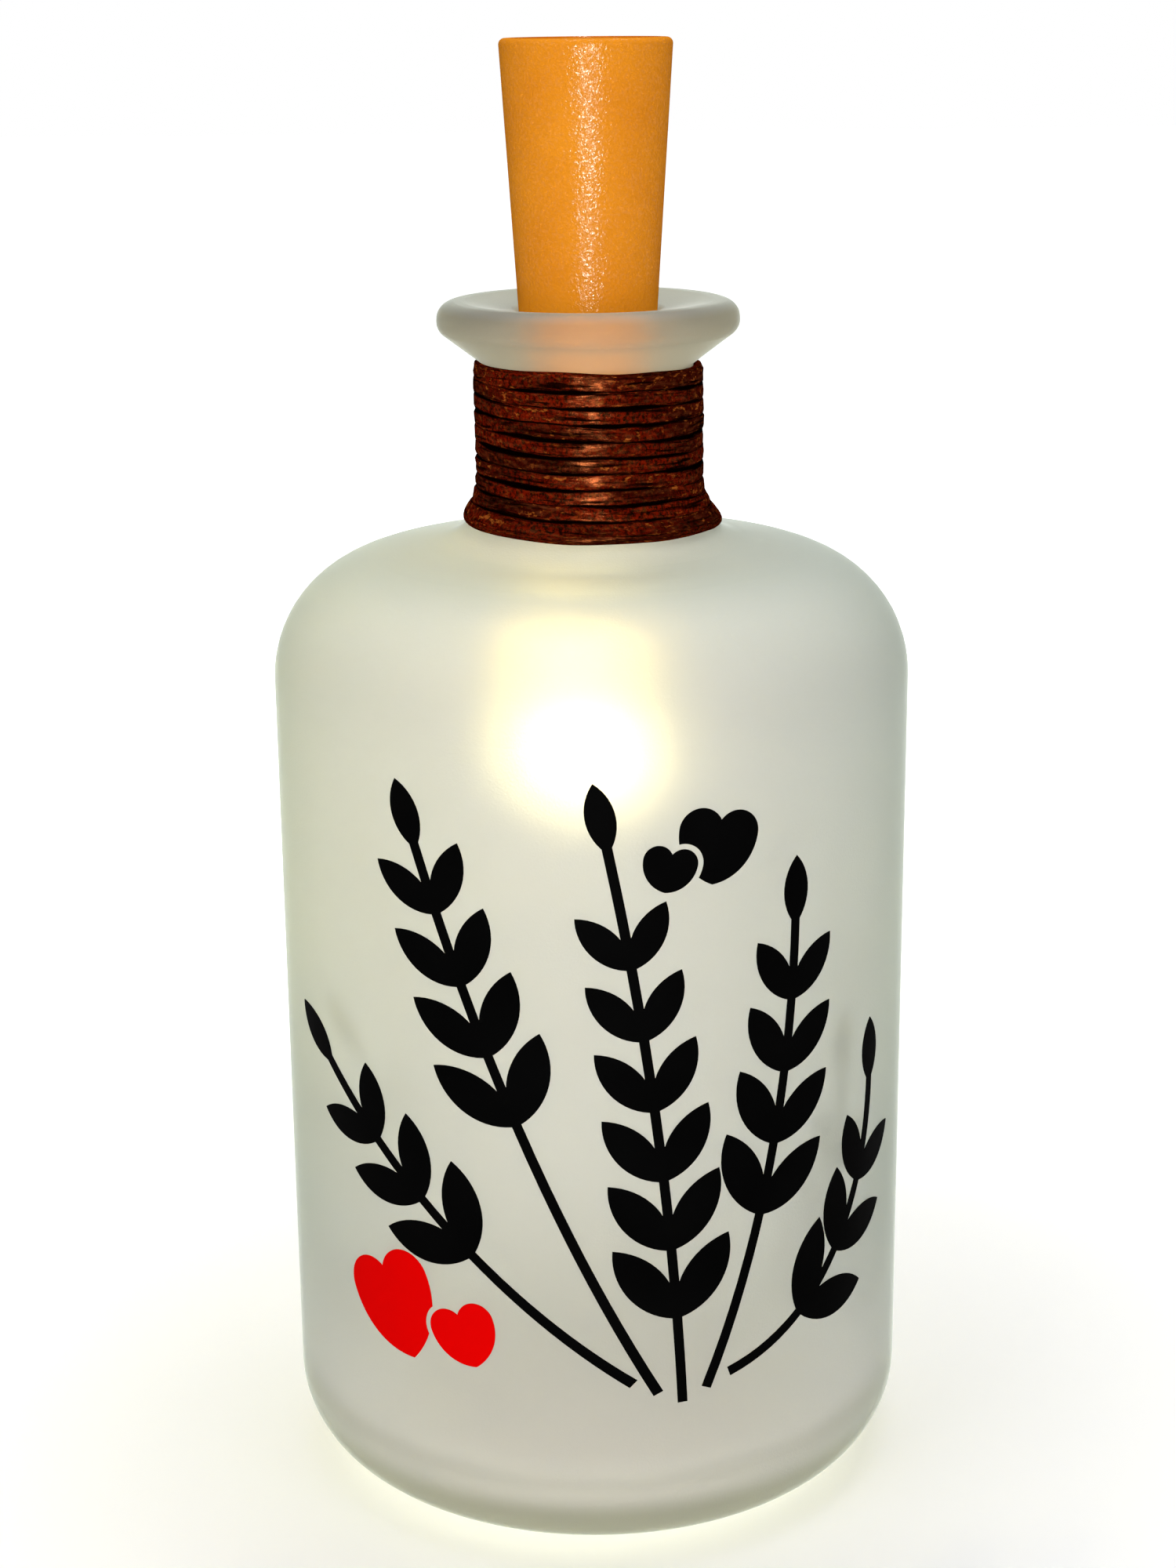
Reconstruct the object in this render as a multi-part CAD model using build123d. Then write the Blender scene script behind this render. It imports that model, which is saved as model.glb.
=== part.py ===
from build123d import *
import os
from math import acos, asin, atan2, cos, degrees, pi, radians, sin, sqrt, tan

# Lamp made of a frosted glass bottle, a twine-bound neck, film decals and a cork-shaped LED plug.
# All sizes are millimetres. Z is up, the standing ring is at z = 0 and the front faces -Y.

# Bottle
body_diameter = 85.0
bottle_height = 161.0
body_wall = 3.5
base_thickness = 6.0
heel_radius = 12.3
punt_depth = 3.0
standing_ring_width = 4.0
neck_rise = 35.6
shoulder_slope = 10.9
shoulder_radius = 16.5
neck_diameter = 27.4
neck_root_radius = 8.8
mouth_bore = 18.5
lip_diameter = 39.6
lip_height = 8.2
lip_band_height = 3.6
lip_cove_radius = 0.8
lip_under_radius = 2.0
lip_top_radius = 2.3
dish_depth = 1.15
dish_width = 7.0
dish_radius = 3.5
mouth_edge_radius = 1.0

# Twine on the neck
twine_diameter = 1.35
twine_pitch = 1.94
twine_seat_gap = 0.05
twine_below_lip = 0.5
twine_onto_flare = 5.3

# Film decals
film_thickness = 0.12
film_gap = 0.05
heart_spacing = 0.7
heart_lobe_share = 0.27
twig_width = 1.3
leaf_length = 13.0
leaf_width = 5.4
leaf_spacing = 9.6
leaf_angle = 36.0
leaf_shrink = 0.3
end_leaf_share = 0.7
sprig_root_azimuth_angle = 14.8
sprig_root_level = 24.0
sprig_root_step_angle = 4.3
sprig_root_rise = 1.6

# Pairs of hearts, the large one first, with azimuths in degrees from the front
black_heart_width = [10.6, 7.0]
black_heart_height = [9.6, 5.8]
black_heart_level = [98.7, 96.3]
black_heart_azimuth_angle = [20.9, 12.5]
black_heart_tilt_angle = [-9, -12]
red_heart_width = [14.0, 9.4]
red_heart_height = [14.6, 8.6]
red_heart_level = [34.2, 32.4]
red_heart_azimuth_angle = [-38.3, -23.7]
red_heart_tilt_angle = [24, 21]

# Leafy sprigs from left to right
sprig_tip_level = [66.0, 99.0, 100.0, 88.0, 62.0]
sprig_tip_azimuth_angle = [-55.3, -31.7, 2.0, 36.4, 58.0]
sprig_bulge = [0.6, 1.8, -1.5, -3.0, -7.0]
sprig_bare_length = [26.0, 41.0, 12.0, 24.0, 12.0]

# Cork-shaped plug
cork_top_diameter = 22.3
cork_above_lip = 32.9
cork_length = 89.0
stem_diameter = 17.4
stem_blend = 30.0
mouth_clearance = 0.25
cork_top_round = 0.8
cork_end_round = 0.7
shell_wall = 1.4
stem_wall = 1.2
conduit_diameter = 12.4

# Cap, button and switch
cap_recess = 0.4
cap_thickness = 2.6
cap_clearance = 0.2
cap_edge_round = 0.3
button_diameter = 7.0
button_proud = 0.3
button_clearance = 0.2
button_flange_width = 0.7
button_flange_height = 0.8
button_stem_diameter = 3.0
button_stem_height = 1.0
button_travel = 1.0
button_round = 0.4
plunger_diameter = 3.2
plunger_proud = 1.2
plunger_depth = 0.8
plunger_clearance = 0.1
switch_width = 6.0
switch_height = 3.5
switch_overtravel = 0.2
switch_round = 0.3
board_thickness = 0.8
board_clearance = 0.25
resistor_length = 2.0
resistor_width = 1.25
resistor_height = 0.5
resistor_spacing = 0.8

# Cap screw
screw_diameter = 1.5
screw_length = 6.2
screw_head_diameter = 2.8
screw_head_height = 0.9
screw_sink = 0.2
screw_clearance = 0.08
screw_slot_width = 0.5
screw_slot_depth = 0.45
screw_slot_length = 2.1
boss_diameter = 3.2
boss_height = 6.0
boss_sink = 0.6

# Button cells and their carrier
cell_diameter = 11.6
cell_height = 5.4
cell_count = 3
cell_cap_inset = 1.1
cell_cap_height = 0.4
cell_round = 0.3
cell_clearance = 0.15
window_lip = 0.3
carrier_clearance = 0.2
carrier_end = 1.0
contact_thickness = 0.3
contact_diameter = 8.0
contact_pin_diameter = 1.0
contact_pin_clearance = 0.1
spring_height = 2.3
spring_wire = 0.45
spring_turns = 2
spring_wide_diameter = 8.4
spring_narrow_diameter = 4.4

# Light source
lens_inset = 0.2
lens_spigot_height = 4.0
lens_clearance = 0.2
led_diameter = 5.0
led_rim_width = 0.4
led_rim_height = 1.0
led_barrel_height = 6.0
led_clearance = 0.1
led_lens_gap = 0.7
holder_clearance = 0.2
lead_width = 0.5
lead_spacing = 2.54
lead_length = 6.0
wire_diameter = 0.9
wire_clearance = 0.1
wire_slot_margin = 0.35
wire_bend_radius = 3.0
wire_drop = 3.7
wire_cross_height = 5.0

# Radii and levels of the bottle
shoulder_height = bottle_height - neck_rise
body_radius = body_diameter / 2
neck_radius = neck_diameter / 2
mouth_radius = mouth_bore / 2
lip_radius = lip_diameter / 2
slope_rise = tan(radians(shoulder_slope))
wall_rise = body_wall / cos(radians(shoulder_slope))
inner_radius = body_radius - body_wall
neck_root_corner = shoulder_height + (body_radius - neck_radius) * slope_rise
neck_root_level = neck_root_corner + neck_root_radius * tan(radians(90 - shoulder_slope) / 2)
inner_shoulder_corner = shoulder_height + body_wall * slope_rise - wall_rise
inner_neck_corner = shoulder_height + (body_radius - mouth_radius) * slope_rise - wall_rise
lip_root_level = bottle_height - lip_height
lip_edge_level = bottle_height - lip_band_height
throat_level = bottle_height - dish_depth - mouth_edge_radius
twine_top = lip_root_level - twine_below_lip
twine_bottom = neck_root_level - twine_onto_flare
twine_turns = round((twine_top - twine_bottom) / twine_pitch)

# Levels of the plug, counted down from its top
cork_top = bottle_height + cork_above_lip
cork_top_radius = cork_top_diameter / 2
throat_depth = cork_top - throat_level
cork_taper = (cork_top_radius - (mouth_radius - mouth_clearance)) / throat_depth
stem_radius = stem_diameter / 2
stem_depth = (cork_top_radius - stem_radius) / cork_taper
cap_seat = cap_recess + cap_thickness
stem_end = cap_seat + button_flange_height + button_stem_height
switch_top = stem_end + plunger_proud
board_top = switch_top + switch_height
carrier_top = board_top + board_thickness
contact_level = carrier_top + carrier_end
cells_top = contact_level + contact_thickness
cells_bottom = cells_top + cell_count * cell_height
plate_level = cells_bottom + spring_height
carrier_floor = plate_level + contact_thickness
carrier_bottom = carrier_floor + carrier_end
holder_bottom = cork_length - lens_spigot_height
led_top = holder_bottom - led_barrel_height

# Radii inside the plug
cap_radius = cork_top_radius - cork_taper * cap_seat - shell_wall - cap_clearance
chamber_radius = cork_top_radius - cork_taper * carrier_bottom - shell_wall
button_radius = button_diameter / 2
flange_radius = button_radius + button_flange_width
carrier_radius = chamber_radius - carrier_clearance
cell_pocket_radius = cell_diameter / 2 + cell_clearance
light_chamber_radius = stem_radius - stem_wall
conduit_radius = conduit_diameter / 2
screw_offset = chamber_radius - boss_diameter / 2 + boss_sink
wire_offset = carrier_radius - wire_clearance - wire_diameter / 2
lead_offset = lead_spacing / 2


def at_depth(depth):
    """Height of a level that is counted down from the top of the plug."""
    return cork_top - depth


def turned(*edges):
    """Solid turned about Z from edges drawn as (radius, height)."""
    return revolve(Plane.XZ * make_face(list(edges)), Axis.Z)


def turned_steps(*corners):
    """Solid turned about Z from straight steps, each corner as (radius, depth below the plug's top)."""
    outline = Polyline([(radius, at_depth(depth)) for radius, depth in corners], close=True)
    return turned(*outline.edges())


def upright(radius, top, bottom, x=0, y=0):
    """Cylinder along Z between two depths below the plug's top."""
    base = Pos(x, y, at_depth(bottom))
    return base * Cylinder(radius, bottom - top, align=(Align.CENTER, Align.CENTER, Align.MIN))


def punt_arc(level):
    """Shallow dome line of the bottle's base, from the standing ring up to the axis."""
    ring = body_radius - heel_radius - standing_ring_width
    dome = (ring**2 + punt_depth**2) / (2 * punt_depth)
    half = asin(ring / dome) / 2
    middle = (dome * sin(half), level + punt_depth - dome * (1 - cos(half)))
    return ThreePointArc((ring, level), middle, (0, level + punt_depth))


def glass_bottle():
    under = punt_arc(0)
    floor = punt_arc(base_thickness)
    dish_radius_end = mouth_radius + dish_width
    wall = FilletPolyline(
        under @ 0,
        (body_radius, 0),
        (body_radius, shoulder_height),
        (neck_radius, neck_root_corner),
        (neck_radius, lip_root_level),
        (lip_radius, lip_edge_level),
        (lip_radius, bottle_height),
        (dish_radius_end, bottle_height),
        (mouth_radius, bottle_height - dish_depth),
        (mouth_radius, inner_neck_corner),
        (inner_radius, inner_shoulder_corner),
        (inner_radius, base_thickness),
        floor @ 0,
        radius=[
            heel_radius,
            shoulder_radius,
            neck_root_radius,
            lip_cove_radius,
            lip_under_radius,
            lip_top_radius,
            dish_radius,
            mouth_edge_radius,
            neck_root_radius + body_wall,
            shoulder_radius - body_wall,
            heel_radius - body_wall,
        ],
    )
    axis = Line(under @ 1, floor @ 1)
    return turned(*wall.edges(), under, floor, axis)


def arc_between(start, direction, end):
    """Middle point of the arc that leaves start along direction and ends at end."""
    chord = end - start
    unit = chord.normalized()
    share = unit.dot(direction)
    side = (direction - unit * share).normalized()
    return start + chord / 2 + side * (chord.length / 2 * tan(acos(share) / 2))


def biarc(start, start_direction, end, end_direction):
    """Two tangent arcs between two points with given directions."""
    span = end - start
    both = start_direction + end_direction
    spread = 2 * (1 - start_direction.dot(end_direction))
    reach = span.dot(both)
    arm = (sqrt(reach**2 + spread * span.dot(span)) - reach) / spread
    joint = (start + end + (start_direction - end_direction) * arm) / 2
    first = ThreePointArc(start, arc_between(start, start_direction, joint), joint)
    second = ThreePointArc(joint, arc_between(end, -end_direction, joint), end)
    return [first, second]


def twine_point(turn):
    """Middle of the twine after a number of turns, wound up the neck from its root."""
    stand_off = twine_seat_gap + twine_diameter / 2
    level = twine_bottom + (twine_top - twine_bottom) * turn / twine_turns
    below = max(0, neck_root_level - level)
    root_centre = neck_radius + neck_root_radius
    radius = root_centre - sqrt((neck_root_radius - stand_off) ** 2 - below**2)
    angle = 2 * pi * turn
    return Vector(radius * sin(angle), radius * cos(angle), level)


def twine_direction(turn):
    step = 0.001
    return (twine_point(turn + step) - twine_point(turn - step)).normalized()


def neck_twine():
    halves = [half / 2 for half in range(2 * twine_turns + 1)]
    points = [twine_point(turn) for turn in halves]
    directions = [twine_direction(turn) for turn in halves]
    start = points[0] - directions[0] * twine_diameter
    end = points[-1] + directions[-1] * twine_diameter
    edges = [Line(start, points[0])]
    for first, second, leave, arrive in zip(points, points[1:], directions, directions[1:]):
        edges += biarc(first, leave, second, arrive)
    edges.append(Line(points[-1], end))
    section = Plane(start, z_dir=directions[0]) * RegularPolygon(twine_diameter / 2, 6)
    print("twine: least gap between turns", round(winding_gap(twine_point, twine_turns, twine_diameter), 2))
    return sweep(section, path=Wire(edges), clean=False)


def winding_gap(point_at, turns, thickness):
    """Least clear distance between the turns of a winding, measured on points."""
    samples = 72
    points = [point_at(index / samples) for index in range(turns * samples + 1)]
    gaps = []
    for index, point in enumerate(points):
        later = points[index + samples // 2 :]
        gaps += [(point - other).length for other in later[: 2 * samples]]
    return min(gaps) - thickness


def front_plane(azimuth):
    """Upright plane through the bottle's axis that faces out at an azimuth from the front."""
    turn = radians(azimuth)
    return Plane((0, 0, 0), x_dir=(cos(turn), sin(turn), 0), z_dir=(sin(turn), -cos(turn), 0))


def raised(sketch, azimuth):
    """Block that carries a sketch from the bottle's axis out past its body at an azimuth."""
    return extrude(front_plane(azimuth) * sketch, amount=body_diameter)


def film(sketch, azimuth):
    """Thin film on the bottle's body with the outline of a sketch drawn on the front plane."""
    inner = body_radius + film_gap
    height = shoulder_height - heel_radius
    sleeve = Cylinder(inner + film_thickness, height) - Cylinder(inner, height)
    return raised(sketch, azimuth) & Pos(0, 0, (heel_radius + shoulder_height) / 2) * sleeve


def heart(width, height):
    """Plain heart outline of two round lobes and two sides that meet in a point, about its middle."""
    lobe = heart_lobe_share * width
    lobe_x = width / 2 - lobe
    notch = sqrt(lobe**2 - lobe_x**2)
    crest = (pi - asin(notch / lobe)) / 2
    top = ThreePointArc((0, notch), (lobe_x + lobe * cos(crest), lobe * sin(crest)), (width / 2, 0))
    side = TangentArc((width / 2, 0), (0, lobe - height), tangent=(0, -1))
    left = [edge.mirror(Plane.YZ) for edge in (top, side)]
    return Pos(0, height / 2 - lobe) * make_face([top, side] + left)


def heart_pair(widths, heights, levels, azimuths, tilts):
    """Two heart films, with a clear line cut from the large one round the small one in front of it."""
    sketches = []
    for width, height, level, tilt in zip(widths, heights, levels, tilts):
        sketches.append(Pos(0, level) * Rot(0, 0, tilt) * heart(width, height))
    cut = raised(offset(sketches[1], heart_spacing), azimuths[1])
    return [film(sketches[0], azimuths[0]) - cut, film(sketches[1], azimuths[1])]


def leaf(root, direction, turn, size):
    """Pointed leaf outline that leaves its root at an angle from a direction."""
    length = size * leaf_length
    half_width = size * leaf_width / 2
    upper = ThreePointArc((0, 0), (length / 2, half_width), (length, 0))
    lower = ThreePointArc((length, 0), (length / 2, -half_width), (0, 0))
    heading = degrees(atan2(direction.Y, direction.X)) + turn
    return Pos(root.X, root.Y) * Rot(0, 0, heading) * make_face([upper, lower])


def sprig(base, tip, bulge, bare):
    """Leafy sprig film between two places, each (azimuth from the front, level), bare at its foot."""
    middle = (base[0] + tip[0]) / 2
    half_width = body_radius * sin(radians(tip[0] - middle))
    twig = SagittaArc((-half_width, base[1]), (half_width, tip[1]), bulge)
    outline = trace(twig, twig_width)
    pairs = int((twig.length - bare) / leaf_spacing)
    for pair in range(pairs):
        place = (bare + pair * leaf_spacing) / twig.length
        size = 1 - leaf_shrink * pair / pairs
        for turn in (-leaf_angle, leaf_angle):
            outline += leaf(twig @ place, twig % place, turn, size)
    outline += leaf(twig @ 1 - (twig % 1) * twig_width, twig % 1, 0, end_leaf_share)
    return film(outline, middle)


def sprigs():
    """Sprigs that fan out from one root."""
    decals = []
    tips = list(zip(sprig_tip_azimuth_angle, sprig_tip_level))
    for index, tip in enumerate(tips):
        from_middle = index - len(tips) // 2
        base_azimuth = sprig_root_azimuth_angle + from_middle * sprig_root_step_angle
        base_level = sprig_root_level + abs(from_middle) * sprig_root_rise
        decals.append(sprig((base_azimuth, base_level), tip, sprig_bulge[index], sprig_bare_length[index]))
    return decals


def cork_shell():
    outside = FilletPolyline(
        (0, at_depth(0)),
        (cork_top_radius, at_depth(0)),
        (stem_radius, at_depth(stem_depth)),
        (stem_radius, at_depth(cork_length)),
        (0, at_depth(cork_length)),
        radius=[cork_top_round, stem_blend, cork_end_round],
    )
    shell = turned(*outside.edges(), Line(outside @ 1, outside @ 0))
    hollow = turned_steps(
        (0, -cap_recess),
        (cap_radius + cap_clearance, -cap_recess),
        (cap_radius + cap_clearance, cap_seat),
        (chamber_radius, cap_seat),
        (chamber_radius, carrier_bottom),
        (conduit_radius, carrier_bottom),
        (conduit_radius, led_top),
        (light_chamber_radius, led_top),
        (light_chamber_radius, cork_length + stem_wall),
        (0, cork_length + stem_wall),
    )
    shell -= hollow
    boss = upright(boss_diameter / 2, cap_seat, cap_seat + boss_height, y=screw_offset)
    boss &= upright(chamber_radius + shell_wall / 2, cap_seat, cap_seat + boss_height)
    shell += boss
    hole_end = cap_recess + screw_sink + screw_head_height + screw_length + screw_clearance
    shell -= upright(screw_diameter / 2 + screw_clearance, cap_seat, hole_end, y=screw_offset)
    wire_slope = wire_cross_height / (wire_offset - lead_offset)
    slot_end = carrier_bottom + wire_drop + (wire_offset - conduit_radius) * wire_slope
    slot_end += wire_diameter + wire_slot_margin
    slot_radius = wire_diameter / 2 + wire_slot_margin
    shell -= upright(slot_radius, carrier_bottom, slot_end, x=wire_offset)
    slot_size = (wire_offset, 2 * slot_radius, slot_end - carrier_bottom)
    shell -= Pos(0, 0, at_depth(slot_end)) * Box(*slot_size, align=(Align.MIN, Align.CENTER, Align.MIN))
    return shell


def battery_cap():
    cap = upright(cap_radius, cap_recess, cap_seat)
    cap = fillet(cap.edges().group_by(Axis.Z)[-1], cap_edge_round)
    cap -= upright(button_radius + button_clearance, cap_recess, cap_seat)
    head_end = cap_recess + screw_sink + screw_head_height
    cap -= upright(screw_diameter / 2 + screw_clearance, cap_recess, cap_seat, y=screw_offset)
    cap -= upright(screw_head_diameter / 2 + screw_clearance, cap_recess, head_end, y=screw_offset)
    return cap


def cap_screw():
    head_top = cap_recess + screw_sink
    head_end = head_top + screw_head_height
    head = upright(screw_head_diameter / 2, head_top, head_end, y=screw_offset)
    screw = head + upright(screw_diameter / 2, head_end, head_end + screw_length, y=screw_offset)
    slot_middle = Pos(0, screw_offset, at_depth(head_top))
    slot = Box(screw_slot_length, screw_slot_width, 2 * screw_slot_depth)
    for turn in (0, 90):
        screw -= slot_middle * Rot(0, 0, turn) * slot
    return screw


def power_button():
    top = cap_recess - button_proud
    head = upright(button_radius, top, cap_seat)
    head = fillet(head.edges().group_by(Axis.Z)[-1], button_round)
    flange_end = cap_seat + button_flange_height
    flange = upright(flange_radius, cap_seat, flange_end)
    return head + flange + upright(button_stem_diameter / 2, flange_end, stem_end)


def switch_plunger():
    return upright(plunger_diameter / 2, stem_end, switch_top + plunger_depth)


def switch_housing():
    body = Box(switch_width, switch_width, switch_height, align=(Align.CENTER, Align.CENTER, Align.MIN))
    body = Pos(0, 0, at_depth(board_top)) * fillet(body.edges().filter_by(Axis.Z), switch_round)
    well_end = switch_top + plunger_depth + button_travel + switch_overtravel
    return body - upright(plunger_diameter / 2 + plunger_clearance, switch_top, well_end)


def circuit_board():
    return upright(chamber_radius - board_clearance, board_top, carrier_top)


def chip_resistor():
    y = -(switch_width / 2 + resistor_spacing + resistor_width / 2)
    place = Pos(0, y, at_depth(board_top))
    size = (resistor_length, resistor_width, resistor_height)
    return place * Box(*size, align=(Align.CENTER, Align.CENTER, Align.MIN))


def battery_carrier():
    carrier = upright(carrier_radius, carrier_top, carrier_bottom)
    carrier -= upright(cell_pocket_radius, contact_level, carrier_floor)
    window_size = (cell_diameter - 2 * window_lip, carrier_radius, carrier_floor - contact_level)
    window = Box(*window_size, align=(Align.CENTER, Align.MAX, Align.MIN))
    carrier -= Pos(0, 0, at_depth(carrier_floor)) * window
    pin_hole = contact_pin_diameter / 2 + contact_pin_clearance
    carrier -= upright(pin_hole, carrier_top, contact_level)
    groove_width = wire_diameter + 2 * wire_clearance
    groove_size = (carrier_radius, groove_width, carrier_bottom - carrier_top)
    groove = Box(*groove_size, align=(Align.MIN, Align.CENTER, Align.MIN))
    carrier -= Pos(wire_offset - groove_width / 2, 0, at_depth(carrier_bottom)) * groove
    wire_hole = wire_diameter / 2 + wire_clearance
    carrier -= upright(wire_hole, carrier_floor, carrier_bottom, x=-lead_offset)
    return carrier


def button_cell(index):
    """One cell with its can upwards and its smaller negative cap below."""
    top = cells_top + index * cell_height
    can_end = top + cell_height - cell_cap_height
    can = upright(cell_diameter / 2, top, can_end)
    can = fillet(can.edges(), cell_round)
    return can + upright(cell_diameter / 2 - cell_cap_inset, can_end - cell_round, top + cell_height)


def positive_contact():
    plate = upright(contact_diameter / 2, contact_level, cells_top)
    return plate + upright(contact_pin_diameter / 2, carrier_top, contact_level)


def negative_plate():
    return upright(contact_diameter / 2 + spring_wire, plate_level, carrier_floor)


def spring_point(turn):
    """Middle of the spring's wire, climbing from its wide end on the plate to its narrow end."""
    share = turn / spring_turns
    narrowing = (spring_wide_diameter - spring_narrow_diameter) / 2
    radius = spring_wide_diameter / 2 - spring_wire / 2 - narrowing * share
    level = at_depth(plate_level) + spring_wire / 2 + (spring_height - spring_wire) * share
    angle = 2 * pi * turn
    return Vector(radius * cos(angle), radius * sin(angle), level)


def spring_direction(turn):
    step = 0.001
    return (spring_point(turn + step) - spring_point(turn - step)).normalized()


def negative_spring():
    quarters = [quarter / 4 for quarter in range(4 * spring_turns + 1)]
    edges = []
    for first, second in zip(quarters, quarters[1:]):
        start = (spring_point(first), spring_direction(first))
        end = (spring_point(second), spring_direction(second))
        edges += biarc(*start, *end)
    section = Plane(spring_point(0), z_dir=spring_direction(0)) * RegularPolygon(spring_wire / 2, 6)
    print("spring: least gap between turns", round(winding_gap(spring_point, spring_turns, spring_wire), 2))
    return sweep(section, path=Wire(edges), clean=False)


def lens():
    """Clear dome with a spigot in the stem's open end and a hollow round the LED's tip."""
    dome = stem_radius - lens_inset
    spigot = light_chamber_radius - lens_clearance
    hollow = led_diameter / 2 + led_lens_gap
    seat = at_depth(cork_length)
    top = at_depth(holder_bottom)
    outline = [
        Line((hollow, top), (spigot, top)),
        Line((spigot, top), (spigot, seat)),
        Line((spigot, seat), (dome, seat)),
        ThreePointArc((dome, seat), (dome * sin(pi / 4), seat - dome * cos(pi / 4)), (0, seat - dome)),
        Line((0, seat - dome), (0, top - hollow)),
        ThreePointArc((0, top - hollow), (hollow * sin(pi / 4), top - hollow * cos(pi / 4)), (hollow, top)),
    ]
    return turned(*outline)


def led():
    radius = led_diameter / 2
    rim = radius + led_rim_width
    top = at_depth(led_top)
    rim_end = top - led_rim_height
    end = at_depth(holder_bottom)
    outline = [
        Line((0, top), (rim, top)),
        Line((rim, top), (rim, rim_end)),
        Line((rim, rim_end), (radius, rim_end)),
        Line((radius, rim_end), (radius, end)),
        ThreePointArc((radius, end), (radius * sin(pi / 4), end - radius * cos(pi / 4)), (0, end - radius)),
        Line((0, end - radius), (0, top)),
    ]
    return turned(*outline)


def led_holder():
    radius = led_diameter / 2 + led_clearance
    rim_end = led_top + led_rim_height
    holder = upright(light_chamber_radius - holder_clearance, led_top, holder_bottom)
    holder -= upright(radius, led_top, holder_bottom)
    return holder - upright(radius + led_rim_width, led_top, rim_end)


def led_leads():
    leads = []
    for x in (-lead_offset, lead_offset):
        lead = Box(lead_width, lead_width, lead_length, align=(Align.CENTER, Align.CENTER, Align.MIN))
        leads.append(Pos(x, 0, at_depth(led_top)) * lead)
    return leads


def anode_wire():
    turn_level = carrier_bottom + wire_drop
    route = FilletPolyline(
        (wire_offset, 0, at_depth(carrier_top)),
        (wire_offset, 0, at_depth(turn_level)),
        (lead_offset, 0, at_depth(turn_level + wire_cross_height)),
        (lead_offset, 0, at_depth(led_top - lead_length)),
        radius=wire_bend_radius,
    )
    section = Plane(route @ 0, z_dir=route % 0) * Circle(wire_diameter / 2)
    return sweep(section, path=route)


def cathode_wire():
    return upright(wire_diameter / 2, carrier_floor, led_top - lead_length, x=-lead_offset)


black_hearts = heart_pair(
    black_heart_width,
    black_heart_height,
    black_heart_level,
    black_heart_azimuth_angle,
    black_heart_tilt_angle,
)
red_hearts = heart_pair(
    red_heart_width,
    red_heart_height,
    red_heart_level,
    red_heart_azimuth_angle,
    red_heart_tilt_angle,
)
nodes = {
    "glass_bottle": glass_bottle(),
    "neck_twine": neck_twine(),
    "black_heart_decals": Compound(children=black_hearts),
    "red_heart_decals": Compound(children=red_hearts),
    "leaf_sprig_decals": Compound(children=sprigs()),
    "cork_shell": cork_shell(),
    "battery_cap": battery_cap(),
    "cap_screw": cap_screw(),
    "power_button": power_button(),
    "switch_plunger": switch_plunger(),
    "switch_housing": switch_housing(),
    "circuit_board": circuit_board(),
    "chip_resistor": chip_resistor(),
    "battery_carrier": battery_carrier(),
    "positive_contact": positive_contact(),
    "negative_spring": negative_spring(),
    "negative_plate": negative_plate(),
    "led": led(),
    "led_holder": led_holder(),
    "led_leads": Compound(children=led_leads()),
    "anode_wire": anode_wire(),
    "cathode_wire": cathode_wire(),
    "lens": lens(),
}
for index, name in enumerate(["upper", "middle", "lower"][:cell_count]):
    nodes["button_cell_" + name] = button_cell(index)

os.makedirs("parts", exist_ok=True)
for name, shape in nodes.items():
    export_step(shape, "parts/" + name + ".step")
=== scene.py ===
from math import cos, pi, radians, sin, sqrt

import bpy
from mathutils import Euler, Matrix, Vector, noise


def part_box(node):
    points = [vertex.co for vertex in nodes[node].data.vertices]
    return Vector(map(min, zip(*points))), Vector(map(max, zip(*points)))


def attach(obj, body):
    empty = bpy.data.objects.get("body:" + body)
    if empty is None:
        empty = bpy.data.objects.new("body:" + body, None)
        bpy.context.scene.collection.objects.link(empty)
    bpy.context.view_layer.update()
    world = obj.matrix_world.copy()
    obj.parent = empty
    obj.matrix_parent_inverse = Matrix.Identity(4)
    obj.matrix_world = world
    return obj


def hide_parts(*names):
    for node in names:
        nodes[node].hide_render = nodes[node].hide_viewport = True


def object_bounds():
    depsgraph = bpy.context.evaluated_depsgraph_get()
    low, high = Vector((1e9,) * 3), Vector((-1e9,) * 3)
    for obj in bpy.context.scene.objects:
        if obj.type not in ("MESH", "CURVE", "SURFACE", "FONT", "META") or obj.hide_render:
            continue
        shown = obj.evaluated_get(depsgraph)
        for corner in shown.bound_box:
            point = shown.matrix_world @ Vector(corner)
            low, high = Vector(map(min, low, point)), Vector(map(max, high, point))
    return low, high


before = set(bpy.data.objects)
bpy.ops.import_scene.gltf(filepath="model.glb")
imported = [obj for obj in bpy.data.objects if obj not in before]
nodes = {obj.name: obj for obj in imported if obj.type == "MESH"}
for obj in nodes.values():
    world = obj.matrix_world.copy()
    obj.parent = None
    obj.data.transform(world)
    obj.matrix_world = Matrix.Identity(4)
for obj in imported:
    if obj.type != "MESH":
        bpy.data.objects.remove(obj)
cad_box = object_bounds()

# Camera of the photograph, in metres and degrees, with its lens and sensor in millimetres
CAMERA_PLACE = Vector((-0.0006, -0.3592, 0.1985))
CAMERA_PITCH = 16.01
CAMERA_ROLL = -0.55
CAMERA_LENS = 62.78
CAMERA_SENSOR = 36.0
CAMERA_CLIP = (0.01, 50)

# Radii and levels at which the bottle's glass changes its look, in metres: its thick heel, painted light low
# on the body and on the shoulder, a painted shade ring below the twine, and its lip, whose sides carry
# painted shade
HEEL_RADII = (0.031, 0.039)
HEEL_LEVELS = (0.0068, 0.0115)
LIT_FROM_FLOOR_LEVELS = (0.010, 0.045)
SHOULDER_LEVELS = (0.112, 0.130)
RING_FOOT_LEVELS = (0.1270, 0.1295)
RING_TOP_LEVELS = (0.1305, 0.1335)
LIP_LEVELS = (0.142, 0.152)
THROAT_DEPTH = 0.0025
PUNT_HEIGHT = 0.005
GLASS_IOR = 1.45

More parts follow.
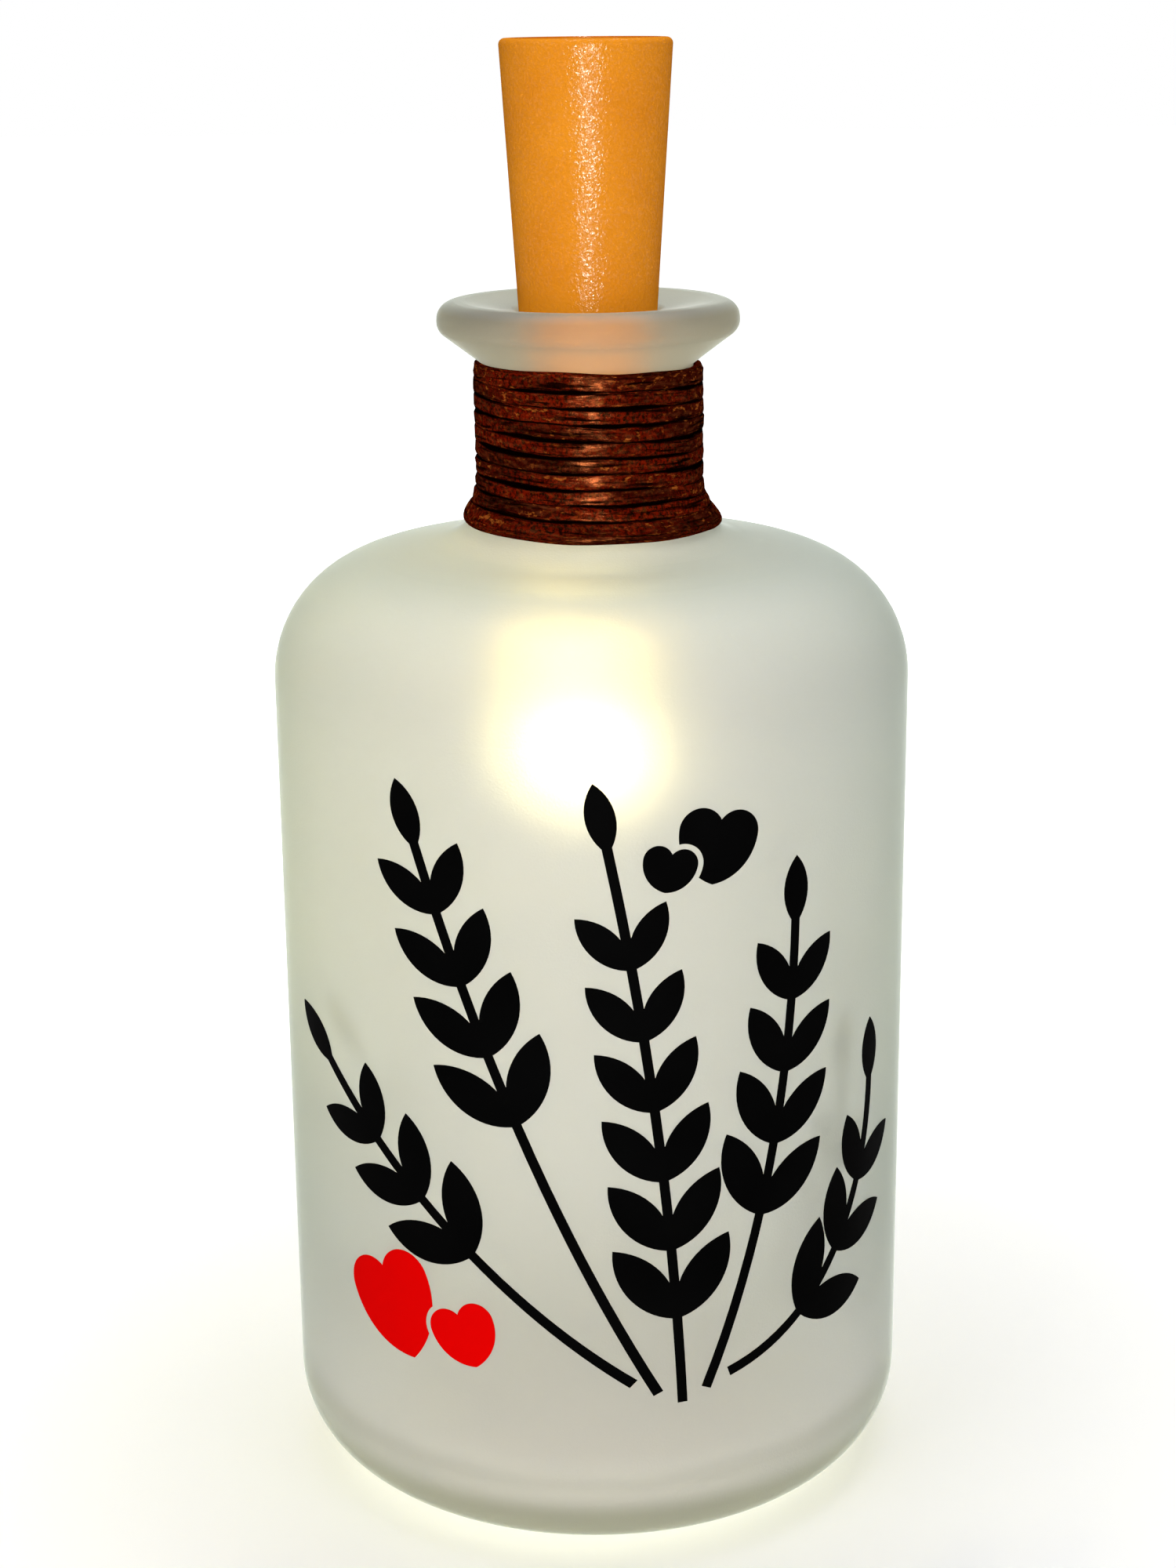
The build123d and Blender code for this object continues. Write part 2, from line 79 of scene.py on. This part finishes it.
# Neck that carries the twine, in metres
NECK_RADIUS = 0.0137
NECK_ROOT_RADIUS = 0.0088
NECK_ROOT_LEVEL = 0.13821

# Twine: counts, shares and powers, and lengths in metres
TWINE_TURNS = 10
TWINE_FLAT_TURNS = 0.45
TWINE_STEPS = 260
TWINE_SIDES = 22
TWINE_HALF_THICKNESS = 0.00066
TWINE_SEAT_GAP = 0.00006
TWINE_WIDTH_SHARE = 1.24
TWINE_SIDE_POWER = 0.62
TWINE_CROWN_POWER = 0.75
TWINE_WANDER = 0.00050
TWINE_SWELL = 0.26
TWINE_CREASE = 0.00020
TWINE_TAPER = 0.005
TWINE_TIP_SHARE = 0.15
TWINE_FREE_CROWN = 0.5

# Unevenness of the twine: waves per metre of strand, and the row of the noise that each kind reads
WANDER_RATE = 75
SWELL_RATE = 110
THICK_RATE = 160
FOLD_RATES = (150, 2200)
WANDER_ROW = 0.0
SWELL_ROW = 7.0
THICK_ROW = 19.0
FOLD_ROW = 40.0

# Glow of the LED in its lens: its strength from left to right and from bottom to top, with places in metres
GLOW_COLOUR = (1.0, 0.85, 0.40, 1.0)
GLOW_STRENGTH = 13.0
GLOW_SEEN_SHARE = 0.018
LENS_LEAN = (4.0, 0.30)
LENS_LEAN_PLACES = (-0.008, 0.005)
LENS_DROP = (2.4, 0.3)

# Glow through the plug's wall, from left to right, with its levels in metres above the lens
PLUG_GLOW = 1.3
PLUG_LEAN = (2.1, 0.25)
PLUG_RADIUS = 0.0087
PLUG_RISE = (0.002, 0.011)
PLUG_FADE = (0.0115, 0.0165)
PLUG_MILKY = (0.018, 0.036)

# Floor: half its side, and how white it shows near the lamp and far from it, with distances in metres; the
# dimmer white near the lamp is painted shade round its base
FLOOR_HALF = 4.0
FLOOR_COLOUR = (0.80, 0.80, 0.80, 1)
FLOOR_SEEN = (0.14, 1.0)
FLOOR_SEEN_DISTANCES = (0.045, 0.24)
FLOOR_MIRRORED = (0.60, 1.0)
FLOOR_MIRRORED_DISTANCES = (0.05, 0.6)

# Light: level of the surroundings, and each lamp's place, size, power in watts and what it is hidden from
WHITE = (1, 1, 1, 1)
WORLD_LEVEL = 0.18
LAMPS = {
    "key": ((-0.55, -0.50, 0.60), (0.5, 0.6), 1.5, ()),
    "front_strip": ((0.04, -0.80, 0.20), (0.05, 0.44), 4.4, ("transmission",)),
    "sheen": ((0.02, -0.82, 0.20), (0.16, 0.40), 12.0, ("diffuse", "transmission")),
    "fill": ((0.60, -0.35, 0.35), (0.5, 0.6), 0.2, ()),
    "top": ((0.05, 0.10, 0.80), (0.5, 0.5), 3.6, ()),
}


class Graph:
    """Node tree of a new material or world, built with short calls."""

    def __init__(self, owner):
        self.owner = owner
        self.owner.use_nodes = True
        self.tree = owner.node_tree
        self.tree.nodes.clear()

    def node(self, kind, inputs=(), **settings):
        made = self.tree.nodes.new("ShaderNode" + kind)
        for name, value in settings.items():
            setattr(made, name, value)
        for key, value in dict(inputs).items():
            if isinstance(value, bpy.types.NodeSocket):
                self.tree.links.new(value, made.inputs[key])
            else:
                made.inputs[key].default_value = value
        return made

    def place(self, scale=(1, 1, 1)):
        """Object coordinates in metres, stretched by a scale."""
        coordinates = self.node("TexCoord").outputs["Object"]
        return self.node("Mapping", {"Vector": coordinates, "Scale": scale}).outputs["Vector"]

    def axis(self, name):
        """One of the object coordinates, in metres."""
        return self.node("SeparateXYZ", {0: self.place()}).outputs[name]

    def distance(self, scale=(1, 1, 1)):
        """Distance from the object's origin, in metres, along the axes that the scale keeps."""
        return self.node("VectorMath", {0: self.place(scale)}, operation="LENGTH").outputs["Value"]

    def noise(self, vector, scale, detail=3.0, rough=0.5):
        inputs = {"Vector": vector, "Scale": scale, "Detail": detail, "Roughness": rough}
        return self.node("TexNoise", inputs).outputs["Fac"]

    def span(self, value, low, high, from_low=0.0, from_high=1.0, smooth=False):
        """Value mapped from one span to another, with its ends clamped."""
        kind = "SMOOTHSTEP" if smooth else "LINEAR"
        inputs = {"Value": value, "From Min": from_low, "From Max": from_high, "To Min": low, "To Max": high}
        return self.node("MapRange", inputs, interpolation_type=kind).outputs["Result"]

    def blend(self, factor, first, second):
        """Colour between two colours."""
        return self.node("Mix", {0: factor, 6: first, 7: second}, data_type="RGBA").outputs[2]

    def layers(self, colour, *layers):
        """Colour with other colours laid over it in turn, each by its own factor."""
        for factor, over in layers:
            colour = self.blend(factor, colour, over)
        return colour

    def math(self, operation, first, second):
        return self.node("Math", {0: first, 1: second}, operation=operation).outputs[0]

    def product(self, value, *factors):
        for factor in factors:
            value = self.math("MULTIPLY", value, factor)
        return value

    def bump(self, height, strength, distance):
        inputs = {"Height": height, "Strength": strength, "Distance": distance}
        return self.node("Bump", inputs).outputs["Normal"]

    def shader(self, kind, inputs=()):
        return self.node(kind, inputs).outputs[0]

    def mix(self, factor, first, second):
        return self.node("MixShader", {0: factor, 1: first, 2: second}).outputs[0]

    def finish(self, surface, output="OutputMaterial"):
        self.node(output, {"Surface": surface})
        return self.owner


def new_material(name):
    return Graph(bpy.data.materials.new(name))


def frosted_skin():
    """Outside of the bottle: etched glass that scatters what lies behind, deeper in tone at lip and base,
    with painted light low on the body and on the shoulder, a painted shade ring below the twine and painted
    shade on the lip's sides.
    """
    g = new_material("frosted_skin")
    clouds = g.noise(g.place(), 38, 2.0)
    normal = g.bump(g.noise(g.place(), 3200, 2.0), 0.12, 0.0002)
    facing = g.node("LayerWeight", {"Blend": 0.35}).outputs["Facing"]
    upward = g.node("SeparateXYZ", {0: g.node("NewGeometry").outputs["Normal"]}).outputs["Z"]
    height = g.axis("Z")
    heel = g.span(g.distance((1, 1, 0)), 0.0, 1.0, *HEEL_RADII, smooth=True)
    base = g.product(heel, g.span(height, 0.9, 0.0, *HEEL_LEVELS, smooth=True))
    # Painted light: the lower body shows lighter and warmer, as if lit from the floor
    lit_from_floor = g.span(height, 0.85, 0.0, *LIT_FROM_FLOOR_LEVELS, smooth=True)
    # Painted light: the shoulder's scattered colours are lighter and its scattering share larger, as if lit
    # from above
    high = g.span(height, 0.0, 1.0, *SHOULDER_LEVELS, smooth=True)
    # Painted shade: a darker, duller ring below the twine, where the neck flares
    above_foot = g.span(height, 0.0, 0.85, *RING_FOOT_LEVELS, smooth=True)
    ring = g.product(above_foot, g.span(height, 1.0, 0.0, *RING_TOP_LEVELS, smooth=True))
    flare = g.span(height, 0.0, 1.0, *LIP_LEVELS, smooth=True)
    # Deeper tone of the thick lip glass, kept off its up-facing top: painted shade on the lip's sides
    lip = g.product(flare, g.span(upward, 1.0, 0.35, 0.5, 0.9))
    tint = g.layers(
        g.blend(clouds, (0.705, 0.70, 0.70, 1), (0.75, 0.74, 0.745, 1)),
        (facing, (0.52, 0.585, 0.535, 1)),
        (lit_from_floor, (0.86, 0.81, 0.795, 1)),
        (base, (0.54, 0.53, 0.46, 1)),
        (lip, (0.68, 0.64, 0.53, 1)),
        (ring, (0.58, 0.565, 0.50, 1)),
    )
    inner = g.layers(
        g.blend(high, (0.71, 0.70, 0.705, 1), (0.86, 0.855, 0.845, 1)),
        (facing, (0.56, 0.62, 0.58, 1)),
        (base, (0.50, 0.49, 0.43, 1)),
        (lip, (0.64, 0.62, 0.50, 1)),
    )
    outer = g.layers(
        g.blend(high, (0.63, 0.625, 0.625, 1), (0.76, 0.755, 0.75, 1)),
        (facing, (0.48, 0.54, 0.50, 1)),
        (base, (0.44, 0.43, 0.38, 1)),
        (lip, (0.58, 0.565, 0.47, 1)),
    )
    etched = {"Color": tint, "IOR": GLASS_IOR, "Normal": normal}
    near = g.shader("BsdfRefraction", {**etched, "Roughness": g.span(clouds, 0.50, 0.58)})
    wide = g.shader("BsdfRefraction", {**etched, "Roughness": 0.76})
    milky = g.shader("BsdfTranslucent", {"Color": inner, "Normal": normal})
    white = g.shader("BsdfDiffuse", {"Color": outer, "Normal": normal})
    gloss = g.shader("BsdfGlossy", {"Color": (0.62, 0.66, 0.61, 1), "Roughness": 0.5, "Normal": normal})
    # Scattering share, raised on the shoulder as painted light and in the ring below the twine as painted
    # shade
    clouded = g.math("MAXIMUM", g.span(high, 0.42, 0.66), g.span(ring, 0.0, 0.9))
    share = g.product(clouded, g.span(lip, 1.0, 0.7))
    body = g.mix(share, g.mix(0.42, near, wide), g.mix(0.40, milky, white))
    edge = g.node("Fresnel", {"IOR": 1.10, "Normal": normal}).outputs[0]
    shadow = g.node("LightPath").outputs["Is Shadow Ray"]
    passing = g.shader("BsdfTransparent", {"Color": (0.80, 0.82, 0.77, 1)})
    return g.finish(g.mix(g.product(shadow, 0.75), g.mix(edge, body, gloss), passing))


def smooth_skin():
    """Inside of the bottle: clear smooth glass."""
    g = new_material("smooth_skin")
    inputs = {
        "Color": (0.97, 0.985, 0.965, 1),
        "Roughness": 0.04,
        "IOR": GLASS_IOR,
        "Normal": g.bump(g.noise(g.place((1, 1, 0.4)), 60, 2.0), 0.2, 0.001),
    }
    shadow = g.node("LightPath").outputs["Is Shadow Ray"]
    passing = g.shader("BsdfTransparent", {"Color": (0.95, 0.97, 0.95, 1)})
    return g.finish(g.mix(shadow, g.shader("BsdfGlass", inputs), passing))


def waxed_twine():
    """Dark red-brown waxed paper twine, mottled, with golden flecks and creases, and painted shade near
    black in its creases and in the grooves between its turns.
    """
    g = new_material("waxed_twine")
    strand = g.node("Attribute", attribute_name="strand").outputs["Vector"]
    crown = g.node("SeparateXYZ", {0: strand}).outputs["Z"]

    def along(scale, detail, rough=0.5):
        stretched = g.node("Mapping", {"Vector": strand, "Scale": scale}).outputs["Vector"]
        return g.noise(stretched, 1.0, detail, rough)

    creases = along((110, 3000, 0), 4.0, 0.6)
    mottle = along((2000, 3400, 0), 4.0, 0.7)
    patches = along((150, 500, 0), 2.0)
    stretches = along((55, 260, 0), 2.0)
    fibres = along((900, 3000, 0), 3.0, 0.6)
    streaks = along((700, 4200, 0), 3.0, 0.6)
    soaked = g.span(patches, 0.0, 1.0, 0.38, 0.62)
    dark = g.blend(soaked, (0.002, 0.0001, 0.0001, 1), (0.020, 0.0005, 0.0001, 1))
    rubbed = g.span(stretches, 0.0, 1.0, 0.40, 0.58)
    worn = g.blend(rubbed, (0.026, 0.0008, 0.0001, 1), (0.125, 0.0045, 0.0003, 1))
    flecks = g.product(g.span(fibres, 0.0, 1.0, 0.56, 0.68), g.span(patches, 0.15, 1.0, 0.45, 0.65))
    # Painted shade: the creases and the grooves between turns go near black
    crease_unshaded = g.span(creases, 0.06, 1.0, 0.38, 0.47)
    ridge = g.math("ADD", crown, g.span(patches, -0.20, 0.10, 0.30, 0.65))
    unshaded = g.product(crease_unshaded, g.span(ridge, 0.0, 1.0, 0.05, 0.30, smooth=True))
    colour = g.blend(g.span(mottle, 0.0, 1.0, 0.43, 0.58), dark, worn)
    colour = g.blend(flecks, colour, (0.34, 0.085, 0.012, 1))
    colour = g.blend(unshaded, (0.0015, 0.0002, 0.0001, 1), colour)
    normal = g.bump(g.math("ADD", creases, g.product(mottle, 0.45)), 0.8, 0.00011)
    paper = {"Base Color": colour, "Roughness": 0.6, "Specular IOR Level": 0.0, "Normal": normal}
    wax = {"Color": (1.0, 0.27, 0.08, 1), "Roughness": g.span(mottle, 0.18, 0.34), "Normal": normal}
    shine = g.product(unshaded, g.span(streaks, 0.004, 0.034, 0.46, 0.66))
    return g.finish(g.mix(shine, g.shader("BsdfPrincipled", paper), g.shader("BsdfGlossy", wax)))


def cork_plastic(name, colour, shade, glow=0.0):
    """Semi-gloss moulded plastic with a fine sparkling grain, lit through by the LED around the lens."""
    g = new_material(name)
    specks = g.noise(g.place((1, 1, 0.6)), 900, 3.0)
    clouds = g.noise(g.place(), 60, 2.0)
    tone = g.blend(g.span(clouds, 0.0, 1.0, 0.3, 0.7), shade, colour)
    tone = g.blend(g.span(specks, 0.0, 0.35, 0.55, 0.8), tone, shade)
    normal = g.bump(g.noise(g.place(), 2300, 2.0, 0.6), 0.6, 0.00018)
    matte = {"Base Color": tone, "Roughness": 0.5, "Specular IOR Level": 0.0, "Normal": normal}
    if glow:
        lens_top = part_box("lens")[1].z
        rise = [lens_top + level for level in PLUG_RISE]
        fade = [lens_top + level for level in PLUG_FADE]
        milky = [lens_top + level for level in PLUG_MILKY]
        height = g.axis("Z")
        rising = g.span(height, 0.0, 1.0, *rise, smooth=True)
        fading = g.span(height, 1.0, 0.0, *fade, smooth=True)
        pale = g.span(height, 1.0, 0.0, *milky, smooth=True)
        lean = g.span(g.axis("X"), PLUG_LEAN[0] * glow, PLUG_LEAN[1] * glow, -PLUG_RADIUS, PLUG_RADIUS)
        matte["Base Color"] = g.blend(pale, tone, (0.84, 0.76, 0.58, 1))
        matte["Emission Color"] = g.blend(rising, (1.0, 0.86, 0.18, 1), (1.0, 0.68, 0.16, 1))
        matte["Emission Strength"] = g.product(fading, lean, g.span(rising, 1.0, 4.6))
    gloss = {"Color": (1, 1, 0.94, 1), "Roughness": g.span(specks, 0.12, 0.20), "Normal": normal}
    sparkle = g.span(g.noise(g.place(), 2700, 1.0), 0.003, 0.022, 0.48, 0.64)
    return g.finish(g.mix(sparkle, g.shader("BsdfPrincipled", matte), g.shader("BsdfGlossy", gloss)))


def film(name, colour, worn):
    """Adhesive film with a faint orange peel."""
    g = new_material(name)
    peel = g.noise(g.place(), 700, 3.0)
    inputs = {
        "Base Color": g.blend(g.noise(g.place(), 90, 2.0), colour, worn),
        "Roughness": g.span(peel, 0.38, 0.52),
        "Specular IOR Level": 0.002,
        "Normal": g.bump(peel, 0.08, 0.0002),
    }
    return g.finish(g.shader("BsdfPrincipled", inputs))


def moulded(name, colour, shade, rough):
    """Plain moulded plastic with a fine grain."""
    g = new_material(name)
    grain = g.noise(g.place(), 1800, 2.0)
    inputs = {
        "Base Color": g.blend(g.noise(g.place(), 220, 3.0), colour, shade),
        "Roughness": g.span(grain, rough - 0.06, rough + 0.06),
        "Normal": g.bump(grain, 0.15, 0.0001),
    }
    return g.finish(g.shader("BsdfPrincipled", inputs))


def plated(name, colour, shade, rough):
    """Plated metal with fine scratches across Z."""
    g = new_material(name)
    scratches = g.noise(g.place((300, 300, 4000)), 1.0, 3.0)
    inputs = {
        "Base Color": g.blend(scratches, colour, shade),
        "Metallic": 1.0,
        "Roughness": g.span(scratches, rough - 0.08, rough + 0.1),
        "Normal": g.bump(scratches, 0.1, 0.0001),
    }
    return g.finish(g.shader("BsdfPrincipled", inputs))


def glowing(name, strength):
    """Clear plastic lit from within, brightest where the LED shines, and held back where it is seen bare."""
    g = new_material(name)
    low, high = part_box("lens")
    swirl = g.noise(g.place(), 180, 2.0)
    lean = g.span(g.axis("X"), *LENS_LEAN, *LENS_LEAN_PLACES)
    drop = g.span(g.axis("Z"), *LENS_DROP, low.z, high.z)
    seen = g.span(g.node("LightPath").outputs["Is Camera Ray"], 1.0, GLOW_SEEN_SHARE)
    inputs = {
        "Base Color": (0.62, 0.57, 0.45, 1),
        "Roughness": g.span(swirl, 0.12, 0.25),
        "Emission Color": GLOW_COLOUR,
        "Emission Strength": g.product(lean, drop, seen, g.span(swirl, 0.9 * strength, 1.1 * strength)),
    }
    return g.finish(g.shader("BsdfPrincipled", inputs))


def paint(material, *names):
    for name in names:
        nodes[name].data.materials.clear()
        nodes[name].data.materials.append(material)


def paint_glass():
    """Frosted skin outside the bottle and smooth skin inside it."""
    mesh = nodes["glass_bottle"].data
    mesh.materials.clear()
    mesh.materials.append(frosted_skin())
    mesh.materials.append(smooth_skin())
    low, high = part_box("glass_bottle")
    throat = high.z - THROAT_DEPTH
    punt_top = low.z + PUNT_HEIGHT
    for face in mesh.polygons:
        outward = face.normal.x * face.center.x + face.normal.y * face.center.y
        punt = face.center.z < punt_top and face.normal.z < 0
        inside = outward < 0 and face.center.z < throat and not punt
        face.material_index = 1 if inside else 0


def paint_nodes():
    """Materials of all CAD nodes but the bottle and the twine."""
    black = film("black_film", (0.0006, 0.0006, 0.0006, 1), (0.0022, 0.0022, 0.0022, 1))
    paint(black, "black_heart_decals", "leaf_sprig_decals")
    red = film("red_film", (0.68, 0.0, 0.0, 1), (0.62, 0.001, 0.001, 1))
    paint(red, "red_heart_decals")
    cork = ((0.76, 0.27, 0.012, 1), (0.66, 0.21, 0.008, 1))
    paint(cork_plastic("cork_plastic", *cork, glow=PLUG_GLOW), "cork_shell")
    paint(cork_plastic("cap_plastic", *cork), "battery_cap")
    button = cork_plastic("button_plastic", (0.62, 0.21, 0.022, 1), (0.52, 0.16, 0.016, 1))
    paint(button, "power_button")
    dark = moulded("dark_plastic", (0.030, 0.030, 0.030, 1), (0.020, 0.020, 0.022, 1), 0.45)
    paint(dark, "switch_plunger", "switch_housing", "chip_resistor", "cathode_wire")
    board = moulded("board", (0.04, 0.20, 0.07, 1), (0.03, 0.15, 0.05, 1), 0.38)
    paint(board, "circuit_board")
    pale = moulded("pale_plastic", (0.80, 0.80, 0.78, 1), (0.72, 0.72, 0.69, 1), 0.42)
    paint(pale, "battery_carrier", "led_holder")
    cover = moulded("wire_cover", (0.55, 0.025, 0.018, 1), (0.45, 0.018, 0.012, 1), 0.35)
    paint(cover, "anode_wire")
    cell = plated("cell_steel", (0.72, 0.71, 0.69, 1), (0.62, 0.61, 0.60, 1), 0.25)
    paint(cell, "button_cell_upper", "button_cell_middle", "button_cell_lower")
    bright = plated("bright_metal", (0.76, 0.75, 0.72, 1), (0.64, 0.63, 0.60, 1), 0.22)
    paint(bright, "positive_contact", "negative_spring", "negative_plate", "led_leads")
    screw = plated("screw_steel", (0.46, 0.45, 0.43, 1), (0.36, 0.35, 0.33, 1), 0.40)
    paint(screw, "cap_screw")
    paint(glowing("led_resin", 2 * GLOW_STRENGTH), "led")
    paint(glowing("clear_plastic", GLOW_STRENGTH), "lens")


def twine_centre(turn, bottom, pitch):
    """Middle of the twine on the neck or its flare, and the direction out of the glass there."""
    # The twine lies flat at both ends and climbs between them
    share = (turn - TWINE_FLAT_TURNS) / (TWINE_TURNS - 2 * TWINE_FLAT_TURNS)
    level = bottom + pitch * (0.5 + TWINE_TURNS * min(max(share, 0.0), 1.0))
    reach = NECK_ROOT_RADIUS - TWINE_SEAT_GAP - TWINE_HALF_THICKNESS
    below = max(0.0, NECK_ROOT_LEVEL - level)
    radius = NECK_RADIUS + NECK_ROOT_RADIUS - sqrt(reach**2 - below**2)
    slope = below / reach
    angle = 2 * pi * turn
    around = Vector((sin(angle), cos(angle), 0))
    out = around * sqrt(1 - slope**2) + Vector((0, 0, slope))
    return around * radius + Vector((0, 0, level)), out


def softened(value, power):
    """Value moved towards 1 or -1, which squares off a round section."""
    return abs(value) ** power if value > 0 else -(abs(value) ** power)


def ripple(along, rate, row):
    """Smooth unevenness along the twine, from -1 to 1."""
    return noise.noise(Vector((along * rate, 0.0, row)))


def twine_points(bottom, pitch):
    """Points of a flattened strand wound up the neck, each with its place along and round it and its crown.

    The crown is 1 on the middle of the strand and 0 in the grooves between turns; the twine's material
    paints shade where it is low.
    """
    half_pitch = pitch / 2 * TWINE_TURNS / (TWINE_TURNS - 2 * TWINE_FLAT_TURNS)
    step = 2 * pi * NECK_RADIUS / TWINE_STEPS
    count = TWINE_TURNS * TWINE_STEPS
    points = []
    strand = []
    for index in range(count + 1):
        turn = index / TWINE_STEPS
        along = index * step
        centre, out = twine_centre(turn, bottom, pitch)
        reach = half_pitch / sqrt(1 - out.z**2)
        half_width = TWINE_WIDTH_SHARE * reach
        across = out.cross(Vector((cos(2 * pi * turn), -sin(2 * pi * turn), 0)))
        end = min(1.0, TWINE_TIP_SHARE + min(along, count * step - along) / TWINE_TAPER)
        inside = min(1.0, turn, TWINE_TURNS - turn)
        wander = TWINE_WANDER * inside * ripple(along, WANDER_RATE, WANDER_ROW)
        swell = end * (1 + TWINE_SWELL * ripple(along, SWELL_RATE, SWELL_ROW))
        thick = end * (1 + TWINE_SWELL * ripple(along, THICK_RATE, THICK_ROW))
        for side in range(TWINE_SIDES):
            angle = 2 * pi * side / TWINE_SIDES - pi / 2
            sideways = softened(cos(angle), TWINE_SIDE_POWER) * half_width * swell
            height = softened(sin(angle), TWINE_CROWN_POWER) * TWINE_HALF_THICKNESS
            if height > 0:
                fold = noise.noise(Vector((along * FOLD_RATES[0], sideways * FOLD_RATES[1], FOLD_ROW)))
                height = height * thick + TWINE_CREASE * fold * sin(angle)
            points.append(centre + across * (sideways + wander) + out * height)
            crown = 1 - abs(sideways) / reach if sin(angle) > 0 else 0.0
            # The outer edges of the first and last turns lie in no groove, so the painted groove shade
            # leaves them
            free = 1 - turn if sideways > 0 else turn - TWINE_TURNS + 1
            crown = max(0.0, crown, min(TWINE_FREE_CROWN, free))
            strand.append((along, side / TWINE_SIDES * 4 * half_width, crown))
    return points, strand


def tube_faces(count, sides):
    """Faces of a closed tube whose points come ring after ring."""
    faces = [tuple(range(sides - 1, -1, -1)), tuple(range(count * sides, (count + 1) * sides))]
    for ring in range(count):
        for side in range(sides):
            corner = ring * sides + side
            after = ring * sides + (side + 1) % sides
            faces.append((corner, after, after + sides, corner + sides))
    return faces


def add_object(name, data):
    made = bpy.data.objects.new(name, data)
    bpy.context.scene.collection.objects.link(made)
    return made


def add_twine():
    """Waxed twine wound round the neck, its turns pressed together."""
    low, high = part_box("neck_twine")
    points, strand = twine_points(low.z, (high.z - low.z) / (TWINE_TURNS + 1))
    mesh = bpy.data.meshes.new("twine_winding")
    mesh.from_pydata(points, [], tube_faces(TWINE_TURNS * TWINE_STEPS, TWINE_SIDES))
    values = [value for row in strand for value in row]
    mesh.attributes.new("strand", "FLOAT_VECTOR", "POINT").data.foreach_set("vector", values)
    mesh.shade_smooth()
    mesh.materials.append(waxed_twine())
    made = add_object("twine_winding", mesh)
    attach(made, "bottle")
    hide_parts("neck_twine")


def add_floor():
    """Pale floor that shows white and keeps the object's shadow, with painted shade where its white dims
    near the object.
    """
    corners = [(x * FLOOR_HALF, y * FLOOR_HALF, 0) for x, y in ((-1, -1), (1, -1), (1, 1), (-1, 1))]
    mesh = bpy.data.meshes.new("floor")
    mesh.from_pydata(corners, [], [(0, 1, 2, 3)])
    g = new_material("floor")
    path = g.node("LightPath").outputs
    mirrored = g.math("MAXIMUM", path["Is Glossy Ray"], path["Is Transmission Ray"])
    distance = g.distance()
    # Painted shade: the floor shows less white near the object, seen directly and through the glass
    direct = g.span(distance, *FLOOR_SEEN, *FLOOR_SEEN_DISTANCES, smooth=True)
    passed = g.span(distance, *FLOOR_MIRRORED, *FLOOR_MIRRORED_DISTANCES, smooth=True)
    strength = g.math("MAXIMUM", g.product(path["Is Camera Ray"], direct), g.product(mirrored, passed))
    matte = g.shader("BsdfDiffuse", {"Color": FLOOR_COLOUR})
    light = g.shader("Emission", {"Color": WHITE, "Strength": strength})
    mesh.materials.append(g.finish(g.shader("AddShader", {0: matte, 1: light})))
    add_object("floor", mesh)


def add_world():
    """Even studio light that shows as white."""
    g = Graph(bpy.data.worlds.new("studio"))
    path = g.node("LightPath").outputs
    mirrored = g.math("MAXIMUM", path["Is Glossy Ray"], path["Is Transmission Ray"])
    seen = g.math("MAXIMUM", path["Is Camera Ray"], mirrored)
    light = g.shader("Background", {"Color": WHITE, "Strength": g.span(seen, WORLD_LEVEL, 1.0)})
    bpy.context.scene.world = g.finish(light, "OutputWorld")


def add_lamp(name, place, size, power, hidden_from, target):
    """Soft rectangular lamp aimed at a point, hidden from the camera and from some kinds of rays."""
    data = bpy.data.lights.new(name, "AREA")
    data.shape = "RECTANGLE"
    data.size, data.size_y = size
    data.energy = power
    lamp = add_object(name, data)
    lamp.location = place
    lamp.rotation_euler = (target - Vector(place)).to_track_quat("-Z", "Y").to_euler()
    for rays in ("camera", *hidden_from):
        setattr(lamp, "visible_" + rays, False)


def add_camera():
    data = bpy.data.cameras.new("camera")
    data.lens = CAMERA_LENS
    data.sensor_width = CAMERA_SENSOR
    data.clip_start, data.clip_end = CAMERA_CLIP
    camera = add_object("camera", data)
    pitched = Euler((radians(90 - CAMERA_PITCH), 0, 0)).to_matrix().to_4x4()
    rolled = Matrix.Rotation(radians(CAMERA_ROLL), 4, "Z")
    camera.matrix_world = Matrix.Translation(CAMERA_PLACE) @ pitched @ rolled
    bpy.context.scene.camera = camera


bpy.context.scene.view_settings.view_transform = "Standard"
paint_glass()
paint_nodes()
add_twine()
add_floor()
add_world()
middle = (cad_box[0] + cad_box[1]) / 2
for lamp_name, lamp_settings in LAMPS.items():
    add_lamp(lamp_name, *lamp_settings, middle)
add_camera()
